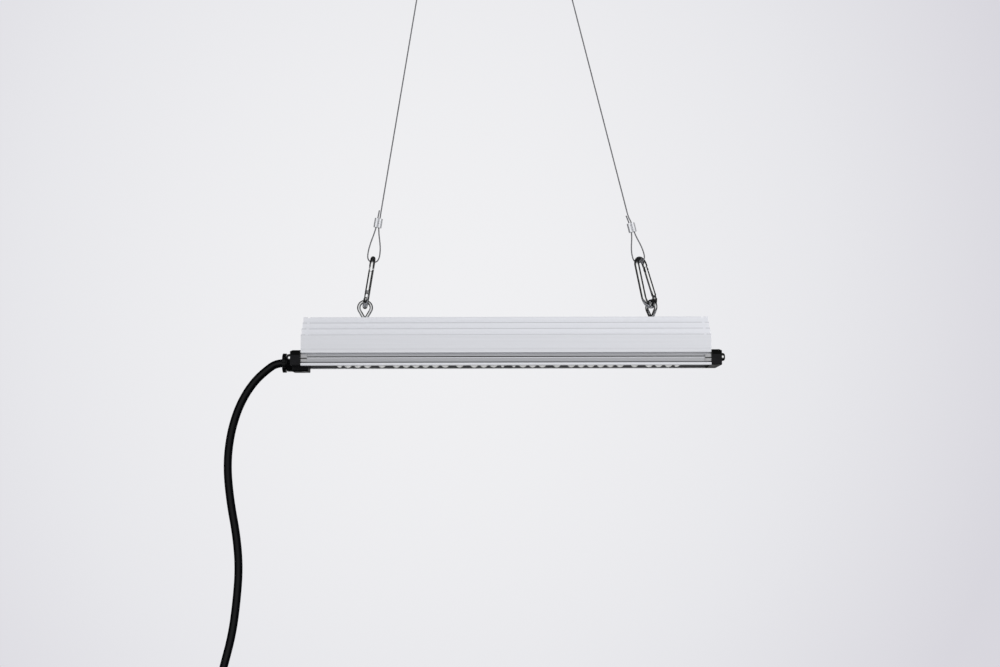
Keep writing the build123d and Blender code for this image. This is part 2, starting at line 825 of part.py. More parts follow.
def upper_rope(plane, mouth, crown):
    """The upper loop: two strands in the ferrule, one stub, one end at the mouth."""
    belly = crown - loop_belly * (crown - mouth - ferrule_length)
    bend = 0.95 * (loop_half_width - 0.2)
    corners = [
        (strand_offset, mouth, 0),
        (strand_offset, mouth + ferrule_length + 2.0, 0),
        (loop_half_width + 0.8, belly, 0),
        (loop_half_width - 0.2, crown, 0),
        (-loop_half_width + 0.2, crown, 0),
        (-loop_half_width - 0.8, belly, 0),
        (-strand_offset, mouth + ferrule_length + 2.0, 0),
        (-strand_offset, mouth - top_stub_length, 0),
    ]
    with BuildLine() as path:
        FilletPolyline(
            *[plane.from_local_coords(c) for c in corners],
            radius=[10, belly_radius, bend, bend, belly_radius, 10],
        )
    print("top loop length", round(path.wire().length, 1))
    return tube_along(path.wire(), rope_radius)


# Snap hook: bent wire, a tongue for the gate's pivot and a nose with a cross pin
flank = snap_length - snap_top_radius - snap_bottom_radius
lean = (snap_bottom_radius - snap_top_radius) / flank
lean_cos = sqrt(1 - lean**2)
bottom_centre = (0, snap_bottom_radius)
top_centre = (0, snap_length - snap_top_radius)
bottom_right = (snap_bottom_radius * lean_cos, snap_bottom_radius * (1 + lean))
bottom_left = (-bottom_right[0], bottom_right[1])
top_right = (snap_top_radius * lean_cos, top_centre[1] + snap_top_radius * lean)
top_left = (-top_right[0], top_right[1])
pivot = (bottom_right[0] - lean * pivot_rise, bottom_right[1] + lean_cos * pivot_rise)
gate_top = nose_pin_rise + gate_radius
shoulder = gate_top + shoulder_gap
start_angle = asin(lean) - (hinge_clearance - pivot_rise) / snap_bottom_radius
hook_start = (
    snap_bottom_radius * cos(start_angle),
    snap_bottom_radius * (1 + sin(start_angle)),
)


def gate_plane(plane):
    """Plane at the gate's pivot: x outwards, y up the gate."""
    origin = plane.from_local_coords((*pivot, 0))
    outwards = plane.x_dir * lean_cos + plane.y_dir * lean
    return Plane(origin=origin, x_dir=outwards, z_dir=plane.z_dir)


def snap_hook(plane):
    """The hook's body, from its pivot tongue round to its nose."""
    at_gate = gate_plane(plane)
    with BuildPart() as body:
        with BuildLine(plane) as path:
            ThreePointArc(hook_start, (0, 0), bottom_left)
            Line(bottom_left, top_left)
            ThreePointArc(top_left, (0, snap_length), top_right)
            end = (pivot[0] - lean * shoulder, pivot[1] + lean_cos * shoulder)
            Line(top_right, end)
        wire = path.wire()
        with BuildSketch(Plane(origin=wire @ 0, z_dir=wire % 0)):
            Circle(wire_radius)
        sweep(path=wire)
        half_tongue = tongue_thickness / 2
        with BuildSketch(at_gate.offset(-half_tongue)):
            with BuildLine():
                Polyline(
                    (gate_radius, 0),
                    (gate_radius, -0.7 * hinge_clearance),
                    (0.6 * gate_radius, -hinge_clearance - 1.7),
                    (-gate_radius, -hinge_clearance - 1.7),
                    (-gate_radius, 0),
                    close=True,
                )
            make_face()
            Circle(gate_radius)
            with Locations((0, shoulder - 2.4)):
                Rectangle(2 * gate_radius, 4.9)
            with Locations((0, nose_pin_rise - 0.2)):
                Rectangle(2 * gate_radius - 1.2, 5.0)
        extrude(amount=tongue_thickness)
        with BuildSketch(at_gate.offset(-gate_radius)):
            with Locations((0, nose_pin_rise)):
                Circle(nose_pin_radius)
        extrude(amount=2 * gate_radius)
        with BuildSketch(at_gate.offset(-half_tongue)):
            Circle(gate_pin_radius)
        extrude(amount=tongue_thickness, mode=Mode.SUBTRACT)
    return body.part


def snap_gate(plane):
    """The gate: a round bar, forked at the pivot and slotted for the nose."""
    at_gate = gate_plane(plane)
    along = Plane(origin=at_gate.origin, x_dir=at_gate.x_dir, z_dir=at_gate.y_dir)
    with BuildPart() as gate:
        with BuildSketch(along):
            Circle(gate_radius)
        extrude(amount=gate_top)
        with Locations(at_gate.origin):
            Sphere(gate_radius)
        with BuildSketch(at_gate.offset(-gate_slot / 2)):
            with Locations((0, 1.0)):
                Rectangle(4 * gate_radius, 2 * gate_radius + 3.0)
            with Locations((0, gate_top)):
                Rectangle(4 * gate_radius, 2 * gate_slot_depth)
        extrude(amount=gate_slot, mode=Mode.SUBTRACT)
        with BuildSketch(at_gate.offset(-gate_radius)):
            with Locations((gate_radius / 2, nose_pin_rise)):
                Rectangle(gate_radius, 2 * nose_pin_radius + 0.8)
            with Locations((0, nose_pin_rise)):
                Circle(nose_pin_radius + 0.4)
        extrude(amount=2 * gate_radius, mode=Mode.SUBTRACT)
        with BuildSketch(at_gate.offset(-gate_radius)):
            Circle(gate_pin_radius + gate_pin_gap)
        extrude(amount=2 * gate_radius, mode=Mode.SUBTRACT)
        with BuildSketch(along.offset(gate_radius)):
            Circle(spring_radius + gate_pin_gap)
        extrude(amount=spring_length + 0.3, mode=Mode.SUBTRACT)
    return gate.part


def gate_pin(plane):
    """The rivet that the gate turns on."""
    with BuildPart() as pin:
        with BuildSketch(gate_plane(plane).offset(-gate_radius)):
            Circle(gate_pin_radius)
        extrude(amount=2 * gate_radius)
    return pin.part


def gate_spring(plane):
    """The spring inside the gate, which pushes on the pivot tongue."""
    at_gate = gate_plane(plane)
    along = Plane(origin=at_gate.origin, x_dir=at_gate.x_dir, z_dir=at_gate.y_dir)
    with BuildPart() as spring:
        with BuildSketch(along.offset(gate_radius + 0.25)):
            Circle(spring_radius)
        extrude(amount=spring_length)
    return spring.part


def ceiling_hook(seat):
    """A screw hook: stud, flange and a bend whose lowest point is the seat."""
    centre_drop = hook_seat_drop - hook_bend_radius
    reach = hook_bend_radius * sin(radians(45))
    joint = (reach, -centre_drop + reach)
    neck = -centre_drop + 2 * reach
    front = Plane(origin=(seat.X, 0, 0), x_dir=(1, 0, 0), z_dir=(0, -1, 0))
    with BuildPart() as hook:
        with BuildSketch(Plane.XY.shift_origin((seat.X, 0, 0))):
            Circle(stud_radius)
        extrude(amount=stud_length)
        with BuildSketch(Plane.XY.shift_origin((seat.X, 0, 0))):
            Circle(hook_flange_radius)
        extrude(amount=-hook_flange_thickness)
        with BuildLine(front) as path:
            FilletPolyline((0, -1.0), (0, neck), joint, radius=5.0)
            CenterArc((0, -centre_drop), hook_bend_radius, 45, hook_end_angle - 405)
        wire = path.wire()
        with BuildSketch(Plane(origin=wire @ 0, z_dir=wire % 0)):
            Circle(hook_wire_radius)
        sweep(path=wire)
    return hook.part


def eye_bolt(eye, turn):
    """A turned eye on a threaded shank that reaches down into the slot nut."""
    centre = Vector(eye.X, 0, lip_z + ring_height)
    across = Vector(cos(radians(turn)), sin(radians(turn)), 0)
    plane = Plane(origin=centre, x_dir=across, z_dir=across.cross(Vector(0, 0, 1)))
    slope = eye_radius / eye_stem
    side = eye_radius * sqrt(1 - slope**2)
    low = -eye_radius * slope
    shank_bottom = plate_top + 0.8 - ring_height
    with BuildPart() as bolt:
        with BuildLine(plane) as path:
            FilletPolyline((0, -eye_stem - 6), (0, -eye_stem), (-side, low), radius=7.0)
            ThreePointArc((-side, low), (0, eye_radius), (side, low))
        wire = path.wire()
        with BuildSketch(Plane(origin=wire @ 0, z_dir=wire % 0)):
            Circle(eye_wire_radius)
        sweep(path=wire)
        leg_start = plane.from_local_coords((side, low, 0))
        leg_end = plane.from_local_coords((side * 0.2, low - (eye_stem + low) * 0.8, 0))
        with BuildSketch(Plane(origin=leg_start, z_dir=leg_end - leg_start)):
            Circle(eye_wire_radius)
        extrude(amount=(leg_end - leg_start).length)
        shank_top = -eye_stem - 3.5
        with BuildSketch(Plane(origin=centre + Vector(0, 0, shank_bottom))):
            Circle(thread_radius)
        extrude(amount=shank_top - shank_bottom)
    return bolt.part


hangers = {
    "left": (
        left_eye, left_seat, left_ferrule_height, left_ferrule_shift, left_turn, left_eye_turn
    ),
    "right": (
        right_eye, right_seat, right_ferrule_height, right_ferrule_shift, right_turn,
        right_eye_turn,
    ),
}
for name, (eye, seat, mouth_height, shift, turn, eye_turn) in hangers.items():
    up, length = up_rope(eye, seat)
    low_plane = loop_plane(eye, up)
    high_plane = crosswise_plane(eye, up)
    hook_plane = snap_plane(eye, up, turn)
    mouth = length - top_mouth_drop
    crown = length + hook_wire_radius + seat_gap + rope_radius
    save(f"{name}_ceiling_hook", ceiling_hook(seat))
    save(f"{name}_top_loop", upper_rope(high_plane, mouth, crown))
    save(f"{name}_top_ferrule", ferrule(high_plane, mouth))
    save(f"{name}_rope", lower_rope(low_plane, mouth_height, mouth - rope_split_gap, shift))
    save(f"{name}_lower_ferrule", ferrule(low_plane, mouth_height, shift))
    save(f"{name}_snap_hook", snap_hook(hook_plane))
    save(f"{name}_gate", snap_gate(hook_plane))
    save(f"{name}_gate_pin", gate_pin(hook_plane))
    save(f"{name}_gate_spring", gate_spring(hook_plane))
    save(f"{name}_eye_bolt", eye_bolt(eye, eye_turn))
    sway_axis = low_plane.from_local_coords((0, mouth, 0))
    gate_axis = gate_plane(hook_plane)
    print(name, "rope", round(length, 2), "sway pivot", sway_axis)
    print(name, "gate pivot", gate_axis.origin, "axis", gate_axis.z_dir)
    print(name, "eye", eye, "up", up)

# Slot nuts, washers and lock nuts of the two eyebolts
bolt_spots = [(left_eye_x, 0), (right_eye_x, 0)]
with BuildPart() as slot_nuts:
    with BuildSketch(level(plate_top + 0.4)):
        with Locations(*bolt_spots):
            Rectangle(slot_nut_length, slot_nut_width)
            Circle(thread_radius, mode=Mode.SUBTRACT)
    extrude(amount=slot_lip_bottom - slot_gap - plate_top - 0.4)
save("slot_nuts", slot_nuts.part)

with BuildPart() as eye_washers:
    with BuildSketch(level(slot_lip_top + slot_gap)):
        with Locations(*bolt_spots):
            Circle(washer_radius)
            Circle(thread_radius, mode=Mode.SUBTRACT)
    extrude(amount=washer_thickness)
save("eye_washers", eye_washers.part)

with BuildPart() as lock_nuts:
    with BuildSketch(level(slot_lip_top + slot_gap + washer_thickness)):
        with Locations(*bolt_spots):
            RegularPolygon(lock_nut_flats / 2, 6, major_radius=False)
            Circle(thread_radius, mode=Mode.SUBTRACT)
    extrude(amount=lock_nut_height)
save("lock_nuts", lock_nuts.part)

# Mains cord: the hanging stretch
coil_x, coil_y, coil_z = coil_middle
coil_start = (coil_x - coil_reach[0], coil_y, coil_z)
route = [(sheath_end, 0.0, gland_height), *cord_route]
route += [(coil_start[0], coil_y, coil_z + coil_tail)]
route = [(x + bar_shift, y, z + lip_z) for x, y, z in route]
radii = arc_radii(route)
print("cord radii", [round(r, 1) for r in radii])
with BuildLine() as drop_path:
    FilletPolyline(*route, radius=radii)
drop_length = drop_path.wire().length
cord = tube_along(drop_path.wire(), cord_radius)
section_area = pi * cord_radius**2
print("cord drop", round(drop_length, 1), "volume ratio", cord.volume / drop_length / section_area)
save("cord", cord)

# Coil: half turns between the left and the right, spiralling in, then out again
layer = 2 * cord_radius + cord_gap
ends = []
for number, reach in enumerate(coil_reach):
    side = -1 if number % 2 == 0 else 1
    depth = coil_y + (layer if number > climbing_turn else 0.0)
    ends.append(Vector(bar_shift + coil_x + side * reach, depth, lip_z + coil_z))
with BuildLine() as coil_path:
    Line(ends[0] + Vector(0, 0, coil_tail), ends[0])
    for number, (start, end) in enumerate(zip(ends, ends[1:])):
        half_way = (start + end) * 0.5
        swing = (end - start).length / 2 * (-1 if number % 2 == 0 else 1)
        ThreePointArc(start, half_way + Vector(0, 0, swing), end)
    Line(ends[-1], ends[-1] - Vector(0, 0, coil_tail))
coil_wire = coil_path.wire()
coil_length = coil_wire.length
save("cord_coil", tube_along(coil_wire, cord_radius))
samples = [coil_wire @ (i / 900) for i in range(901)]
step = coil_length / 900
apart = ceil(6 * cord_radius / step)
least = min(
    (samples[i] - samples[j]).length
    for i in range(0, 901, 2)
    for j in range(i + apart, 901)
)
print("coil length", round(coil_length, 1), "least gap", round(least - 2 * cord_radius, 2))
print("cord length in all", round(drop_length + coil_length, 1))

# Tie round the top of the coil
tops = [(ends[i] + ends[i + 1]) * 0.5 for i in (1, 3, 5)]
heights = [(ends[i + 1] - ends[i]).length / 2 for i in (1, 3, 5)]
tie_x = sum(top.X for top in tops) / len(tops)
tie_low = lip_z + coil_z + min(heights) - cord_radius - tie_gap - 0.4
tie_high = lip_z + coil_z + max(heights) + cord_radius + tie_gap
tie_near = coil_y - cord_radius - tie_gap
tie_far = coil_y + layer + cord_radius + tie_gap
with BuildPart() as coil_tie:
    tie_plane = Plane(
        origin=(tie_x - tie_width / 2, 0, 0), x_dir=(0, 1, 0), z_dir=(1, 0, 0)
    )
    with BuildSketch(tie_plane):
        with Locations(((tie_near + tie_far) / 2, (tie_low + tie_high) / 2)):
            RectangleRounded(
                tie_far - tie_near + 2 * tie_thickness,
                tie_high - tie_low + 2 * tie_thickness,
                cord_radius,
            )
            RectangleRounded(
                tie_far - tie_near, tie_high - tie_low, cord_radius - tie_thickness,
                mode=Mode.SUBTRACT,
            )
    extrude(amount=tie_width)
save("coil_tie", coil_tie.part)

# Plug: tapered relief, moulded body, two blades and an earth pin
tail = ends[-1] - Vector(0, 0, coil_tail)
plug_top = Plane(origin=tail, x_dir=(1, 0, 0), z_dir=(0, 0, -1))
with BuildPart() as plug_body:
    with BuildSketch(plug_top):
        Circle(plug_relief_radius)
    with BuildSketch(plug_top.offset(plug_relief_length)):
        Circle(plug_relief_radius + 2.5)
    loft()
    with BuildSketch(plug_top.offset(plug_relief_length)):
        RectangleRounded(*plug_size, plug_corner)
    extrude(amount=plug_body_length)
    body_top = plug_body.faces().filter_by(Plane.XY).sort_by(Axis.Z)[-2]
    chamfer(body_top.outer_wire().edges(), 2.0)
save("plug_body", plug_body.part)

plug_face = plug_top.offset(plug_relief_length + plug_body_length)
with BuildPart() as plug_blades:
    with BuildSketch(plug_face):
        with Locations((-3.0, -blade_spacing / 2), (-3.0, blade_spacing / 2)):
            Rectangle(blade_size[1], blade_size[0])
    extrude(amount=blade_size[2])
save("plug_blades", plug_blades.part)

with BuildPart() as plug_earth_pin:
    with BuildSketch(plug_face):
        with Locations((-3.0 + earth_pin_offset, 0)):
            Circle(earth_pin_radius)
    extrude(amount=earth_pin_length)
    pin_tip = plug_earth_pin.faces().sort_by(Axis.Z)[0]
    chamfer(pin_tip.edges(), 0.8)
save("plug_earth_pin", plug_earth_pin.part)
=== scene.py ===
"""Looks of the hanging LED grow light bar, in metres, in the same frame as its CAD."""

import math

import bpy
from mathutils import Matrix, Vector


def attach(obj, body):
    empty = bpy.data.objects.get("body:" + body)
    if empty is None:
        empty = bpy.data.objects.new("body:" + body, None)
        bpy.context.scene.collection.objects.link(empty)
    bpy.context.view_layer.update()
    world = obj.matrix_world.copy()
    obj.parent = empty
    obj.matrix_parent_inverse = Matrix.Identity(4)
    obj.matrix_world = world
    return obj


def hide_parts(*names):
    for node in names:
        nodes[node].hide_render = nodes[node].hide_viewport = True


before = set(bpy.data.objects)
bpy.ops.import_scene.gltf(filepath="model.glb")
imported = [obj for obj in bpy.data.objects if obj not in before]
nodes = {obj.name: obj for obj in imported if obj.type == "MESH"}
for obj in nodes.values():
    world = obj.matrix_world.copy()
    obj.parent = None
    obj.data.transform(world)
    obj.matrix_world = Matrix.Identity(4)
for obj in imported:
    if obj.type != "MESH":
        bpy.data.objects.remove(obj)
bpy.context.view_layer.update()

# The bar's own origin: the middle of its length, at the level of its lower lips
BAR_X = 0.0174
LIP_Z = -0.608


def from_bar(x, y, z):
    """A point measured from the bar's origin in millimetres, in the frame and in metres."""
    return Vector((BAR_X + x / 1000, y / 1000, LIP_Z + z / 1000))


def add_object(name, data):
    """Adds an object with that data to the scene."""
    made = bpy.data.objects.new(name, data)
    bpy.context.scene.collection.objects.link(made)
    return made


# Camera: 148 mm below the bar's lips and tilted up at it
TILT_UP = 5.556  # degrees
ROLL = 0.13
camera_data = bpy.data.cameras.new("camera")
camera_data.lens = 54.14
camera_data.sensor_width = 36.0
camera_data.clip_end = 50.0
camera = add_object("camera", camera_data)
camera.location = (0.0093, -1.9725, -0.75577)
camera.rotation_mode = "XYZ"
camera.rotation_euler = (math.radians(90 + TILT_UP), math.radians(ROLL), 0)
bpy.context.scene.camera = camera


# Nodes, for the materials and for the world
def node(tree, kind, **settings):
    """Adds a node with those settings."""
    made = tree.nodes.new(kind)
    for key, value in settings.items():
        setattr(made, key, value)
    return made


def math_node(tree, operation, *values):
    """A Math node fed by sockets or numbers; returns its output."""
    made = node(tree, "ShaderNodeMath", operation=operation)
    for socket, value in zip(made.inputs, values):
        if isinstance(value, (int, float)):
            socket.default_value = value
        else:
            tree.links.new(value, socket)
    return made.outputs[0]


def ramp(tree, factor, stops):
    """A ColorRamp node through (place, colour) stops; returns its colour."""
    made = node(tree, "ShaderNodeValToRGB")
    elements = made.color_ramp.elements
    while len(elements) < len(stops):
        elements.new(0.5)  # takes its place below
    for element, (place, colour) in zip(elements, stops):
        element.position = place
        element.color = (*colour, 1.0)
    tree.links.new(factor, made.inputs[0])
    return made.outputs[0]


def mix(tree, factor, first, second, kind="MIX"):
    """Two colours mixed by a number or a socket; returns the result."""
    made = node(tree, "ShaderNodeMix", data_type="RGBA", blend_type=kind)
    if isinstance(factor, (int, float)):
        made.inputs["Factor"].default_value = factor
    else:
        tree.links.new(factor, made.inputs["Factor"])
    # A Mix node has sockets of the same name for numbers, vectors and colours
    first_in, second_in = (
        [socket for socket in made.inputs if socket.name == name and socket.type == "RGBA"][0]
        for name in "AB"
    )
    tree.links.new(first, first_in)
    tree.links.new(second, second_in)
    return [socket for socket in made.outputs if socket.type == "RGBA"][0]


def product(tree, first, second):
    """Two colours multiplied."""
    return mix(tree, 1.0, first, second, "MULTIPLY")


def squared(tree, value):
    """A number times itself."""
    return math_node(tree, "MULTIPLY", value, value)


def grey(value):
    """A neutral colour."""
    return (value, value, value)


# Materials
NOISE_LOW, NOISE_HIGH = 0.3, 0.7  # most values of a noise texture lie between these


def material(name, **values):
    """A material with those values on its shader's sockets, underscores for spaces."""
    made = bpy.data.materials.new(name)
    made.use_nodes = True
    shader = made.node_tree.nodes["Principled BSDF"]
    for key, value in values.items():
        if isinstance(value, tuple) and len(value) == 3:
            value = (*value, 1.0)
        shader.inputs[key.replace("_", " ")].default_value = value
    return made


def noise(made, scale, stretch=(1, 1, 1), detail=2.0):
    """Noise through the piece's space; returns its factor."""
    tree = made.node_tree
    place = node(tree, "ShaderNodeTexCoord")
    mapping = node(tree, "ShaderNodeMapping")
    mapping.inputs["Scale"].default_value = stretch
    texture = node(tree, "ShaderNodeTexNoise")
    texture.inputs["Scale"].default_value = scale
    texture.inputs["Detail"].default_value = detail
    tree.links.new(place.outputs["Object"], mapping.inputs["Vector"])
    tree.links.new(mapping.outputs["Vector"], texture.inputs["Vector"])
    return texture.outputs[0]


def relief(made, scale, depth, stretch=(1, 1, 1), detail=2.0):
    """Adds a fine relief, with its depth in metres."""
    tree = made.node_tree
    bump = node(tree, "ShaderNodeBump")
    bump.inputs["Distance"].default_value = depth
    tree.links.new(noise(made, scale, stretch, detail), bump.inputs["Height"])
    tree.links.new(bump.outputs["Normal"], tree.nodes["Principled BSDF"].inputs["Normal"])


def wander(made, scale, tone, rough=0.0, stretch=(1, 1, 1), detail=2.0):
    """Lets the colour and the roughness wander over the surface, by those shares."""
    tree = made.node_tree
    shader = tree.nodes["Principled BSDF"]
    colour = shader.inputs["Base Color"]
    base = colour.default_value[:3]
    factor = noise(made, scale, stretch, detail)
    stops = [
        (place, tuple(min(1.0, part * share) for part in base))
        for place, share in ((NOISE_LOW, 1 - tone), (NOISE_HIGH, 1 + tone))
    ]
    tree.links.new(ramp(tree, factor, stops), colour)
    if rough:
        spread = node(tree, "ShaderNodeMapRange")
        middle = shader.inputs["Roughness"].default_value
        spread.inputs["From Min"].default_value = NOISE_LOW
        spread.inputs["From Max"].default_value = NOISE_HIGH
        spread.inputs["To Min"].default_value = middle * (1 - rough)
        spread.inputs["To Max"].default_value = middle * (1 + rough)
        tree.links.new(factor, spread.inputs["Value"])
        tree.links.new(spread.outputs["Result"], shader.inputs["Roughness"])


def painted_crevice_shade(made, reach, share):
    """Paints shade: takes up to this share off the colour where the shape closes in on itself."""
    tree = made.node_tree
    colour = tree.nodes["Principled BSDF"].inputs["Base Color"]
    gather = node(tree, "ShaderNodeAmbientOcclusion", samples=12, only_local=True)
    gather.inputs["Distance"].default_value = reach
    shade = ramp(tree, gather.outputs["AO"], [(0.0, grey(1 - share)), (1.0, grey(1.0))])
    tree.links.new(product(tree, colour.links[0].from_socket, shade), colour)


def within(tree, value, low, high):
    """1 where the value lies between low and high, 0 elsewhere."""
    above_low = math_node(tree, "GREATER_THAN", value, low)
    below_high = math_node(tree, "LESS_THAN", value, high)
    return math_node(tree, "MULTIPLY", above_low, below_high)


def painted_shade_band(made, sides, heights, share):
    """Paints shade: leaves this share of the colour on a band along the bar.

    Sides are distances from its middle plane and heights are over its lips, in millimetres.
    """
    tree = made.node_tree
    colour = tree.nodes["Principled BSDF"].inputs["Base Color"]
    split = node(tree, "ShaderNodeSeparateXYZ")
    place = node(tree, "ShaderNodeTexCoord")
    tree.links.new(place.outputs["Object"], split.inputs[0])
    aside = math_node(tree, "ABSOLUTE", split.outputs[1])
    mask = math_node(
        tree,
        "MULTIPLY",
        within(tree, aside, *(side / 1000 for side in sides)),
        within(tree, split.outputs[2], *(LIP_Z + height / 1000 for height in heights)),
    )
    shade = ramp(tree, mask, [(0.0, grey(1.0)), (1.0, grey(share))])
    tree.links.new(product(tree, colour.links[0].from_socket, shade), colour)


ALONG = (0.02, 1.0, 1.0)  # stretches a texture along the extrusion
sink_metal = material("sink_metal", Base_Color=(0.74, 0.75, 0.785), Metallic=0.3, Roughness=0.42)
wander(sink_metal, 300.0, tone=0.03, rough=0.12, stretch=ALONG, detail=3.0)
relief(sink_metal, 900.0, 0.00004, stretch=ALONG)
# Painted shade where the fins and grooves close in on themselves
painted_crevice_shade(sink_metal, 0.01, 0.06)
RECESS = (-1.0, 25.6)  # between the lips, over the lenses
GROOVES = (27.0, 31.0)  # the stepped grooves' floors
FACE = (31.0, 33.0)  # the outermost faces and fins
# Painted shade: bands left darker in the grooves, over the recess between the lips, along the
# outer faces and at the fins' tips, where shade falls
for sides, heights, share in (
    (GROOVES, (3.0, 4.7), 0.4),
    (GROOVES, (4.7, 9.8), 0.5),
    (GROOVES, (10.4, 11.8), 0.06),
    (GROOVES, (11.6, 14.4), 0.48),
    (GROOVES, (14.4, 16.5), 0.9),
    (RECESS, (0.3, 8.6), 0.14),
    (FACE, (-0.5, 0.9), 0.72),
    (FACE, (0.9, 3.0), 0.9),
    (FACE, (16.3, 17.1), 0.75),
    (FACE, (17.1, 39.3), 0.85),
    (FACE, (19.8, 22.2), 0.94),
    # Painted shade lines at the edges of the fins' tips, from the outermost fins in
    (FACE, (39.3, 40.1), 0.66),
    ((22.9, 24.9), (47.8, 48.6), 0.68),
    ((14.2, 16.2), (56.4, 57.2), 0.68),
    ((5.5, 7.5), (64.4, 65.2), 0.93),
):
    painted_shade_band(sink_metal, sides, heights, share)
cap_plastic = material(
    "cap_plastic", Base_Color=(0.0085, 0.0085, 0.0095), Roughness=0.42, Specular_IOR_Level=0.07
)
wander(cap_plastic, 120.0, tone=0.25, rough=0.15)
relief(cap_plastic, 2500.0, 0.00002, detail=1.0)
painted_shade_band(cap_plastic, (-1.0, 40.0), (13.6, 21.0), 0.06)  # painted shade over the caps' tops, right across
lid_plastic = material(
    "lid_plastic", Base_Color=(0.001, 0.001, 0.001), Roughness=0.42, Specular_IOR_Level=0.05
)
wander(lid_plastic, 120.0, tone=0.25, rough=0.15)
relief(lid_plastic, 2500.0, 0.00002, detail=1.0)
gland_plastic = material(
    "gland_plastic", Base_Color=(0.002, 0.002, 0.0023), Roughness=0.3, Specular_IOR_Level=0.2
)
wander(gland_plastic, 200.0, tone=0.25, rough=0.15)
relief(gland_plastic, 2200.0, 0.00001, detail=1.0)
rubber = material("rubber", Base_Color=(0.008, 0.008, 0.008), Roughness=0.75)
wander(rubber, 150.0, tone=0.3, rough=0.1)
relief(rubber, 1500.0, 0.00003)
cord_rubber = material(
    "cord_rubber", Base_Color=(0.0012, 0.0014, 0.002), Roughness=0.36, Specular_IOR_Level=0.2
)
wander(cord_rubber, 90.0, tone=0.25, rough=0.12)
relief(cord_rubber, 700.0, 0.00004)
plug_plastic = material("plug_plastic", Base_Color=(0.008, 0.008, 0.009), Roughness=0.42)
wander(plug_plastic, 120.0, tone=0.25, rough=0.15)
relief(plug_plastic, 1800.0, 0.00002)
brass = material("brass", Base_Color=(0.83, 0.62, 0.28), Metallic=1.0, Roughness=0.25)
wander(brass, 350.0, tone=0.06, rough=0.3)
chrome = material("chrome", Base_Color=(0.88, 0.885, 0.89), Metallic=1.0, Roughness=0.1)
wander(chrome, 160.0, tone=0.04, rough=0.3)
relief(chrome, 420.0, 0.00002)
eye_steel = material("eye_steel", Base_Color=(0.64, 0.645, 0.65), Metallic=1.0, Roughness=0.13)
wander(eye_steel, 160.0, tone=0.04, rough=0.3)
relief(eye_steel, 420.0, 0.00002)
steel = material("steel", Base_Color=(0.5, 0.5, 0.51), Metallic=1.0, Roughness=0.3)
wander(steel, 400.0, tone=0.1, rough=0.25)
black_steel = material("black_steel", Base_Color=(0.05, 0.05, 0.052), Metallic=0.9, Roughness=0.3)
wander(black_steel, 400.0, tone=0.15, rough=0.25)
rope_steel = material("rope_steel", Base_Color=(0.19, 0.19, 0.2), Metallic=0.2, Roughness=0.5)
wander(rope_steel, 260.0, tone=0.15, rough=0.2)
ferrule_metal = material(
    "ferrule_metal", Base_Color=(0.8, 0.81, 0.84), Metallic=0.65, Roughness=0.3
)
wander(ferrule_metal, 150.0, tone=0.04, rough=0.2)
# Painted shade where the ferrules' lobes meet
painted_crevice_shade(ferrule_metal, 0.003, 0.4)
clip_metal = material("clip_metal", Base_Color=(0.38, 0.38, 0.39), Metallic=0.4, Roughness=0.45)
wander(clip_metal, 400.0, tone=0.06, rough=0.2)
painted_shade_band(clip_metal, (27.0, 33.0), (8.3, 10.1), 0.2)  # painted shade in the clips' slits
lens_plastic = material(
    "lens_plastic",
    Base_Color=(0.93, 0.93, 0.92),
    Roughness=0.14,
    IOR=1.49,
    Transmission_Weight=0.1,
)
wander(lens_plastic, 60.0, tone=0.03, rough=0.2)
board_paint = material("board_paint", Base_Color=(0.02, 0.018, 0.016), Roughness=0.4)
wander(board_paint, 500.0, tone=0.3, rough=0.2)
phosphor = material("phosphor", Base_Color=(0.8, 0.66, 0.2), Roughness=0.5)
wander(phosphor, 900.0, tone=0.1)
black_part = material("black_part", Base_Color=(0.02, 0.02, 0.02), Roughness=0.5)
wander(black_part, 500.0, tone=0.2, rough=0.15)
line_sleeve = material("line_sleeve", Base_Color=(0.16, 0.06, 0.025), Roughness=0.45)
neutral_sleeve = material("neutral_sleeve", Base_Color=(0.02, 0.09, 0.35), Roughness=0.45)
earth_sleeve = material("earth_sleeve", Base_Color=(0.1, 0.32, 0.06), Roughness=0.45)
for sleeve in (line_sleeve, neutral_sleeve, earth_sleeve):
    wander(sleeve, 300.0, tone=0.1, rough=0.1)

LOOKS = {
    sink_metal: ["heat_sink"],
    cap_plastic: ["left_end_cap", "right_end_cap"],
    lid_plastic: ["cable_lid"],
    gland_plastic: ["gland_body", "gland_nut"],
    rubber: ["end_gaskets", "gland_washer", "gland_seal", "left_lens_seal", "right_lens_seal"],
    plug_plastic: ["plug_body", "coil_tie"],
    brass: ["plug_blades", "plug_earth_pin"],
    chrome: [
        "left_ceiling_hook",
        "right_ceiling_hook",
        "left_snap_hook",
        "right_snap_hook",
        "left_gate",
        "right_gate",
        "end_cap_screws",
    ],
    eye_steel: ["left_eye_bolt", "right_eye_bolt"],
    steel: [
        "left_gate_pin",
        "right_gate_pin",
        "left_gate_spring",
        "right_gate_spring",
        "slot_nuts",
        "eye_washers",
        "lock_nuts",
        "lens_screws",
        "board_links",
    ],
    black_steel: ["lid_screws"],
    rope_steel: ["left_rope", "right_rope", "left_top_loop", "right_top_loop"],
    ferrule_metal: [
        "left_lower_ferrule",
        "right_lower_ferrule",
        "left_top_ferrule",
        "right_top_ferrule",
    ],
    clip_metal: ["groove_clips"],
    lens_plastic: ["left_lens", "right_lens"],
    board_paint: ["left_led_board", "right_led_board"],
    phosphor: ["led_chips"],
    black_part: ["current_regulators", "terminal_block"],
    line_sleeve: ["line_lead"],
    neutral_sleeve: ["neutral_lead"],
    earth_sleeve: ["earth_lead"],
}
for look, names in LOOKS.items():
    for name in names:
        nodes[name].data.materials.clear()
        nodes[name].data.materials.append(look)

